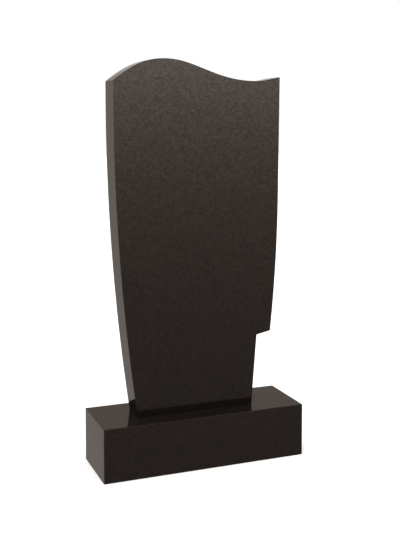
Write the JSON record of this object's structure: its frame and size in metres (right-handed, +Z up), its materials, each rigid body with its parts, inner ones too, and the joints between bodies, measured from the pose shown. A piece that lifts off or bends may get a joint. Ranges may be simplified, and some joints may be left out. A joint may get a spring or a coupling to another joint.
{
  "type": "headstone",
  "caption": "Polished black stone headstone: an upright slab with a wave-shaped top, curved sides and a stepped lower edge, standing on a plain rectangular plinth.",
  "frame": {"origin": "middle of the plinth's underside", "axes": "+Z up, -Y out of the polished front, +X to the right as seen from the front"},
  "size_m": [0.6, 0.2, 1.1503],
  "materials": {
    "polished_stone": "mirror polished, near black with a fine warm grain"
  },
  "bodies": {
    "root": {"stele": "polished_stone", "plinth": "polished_stone"}
  },
  "joints": []
}
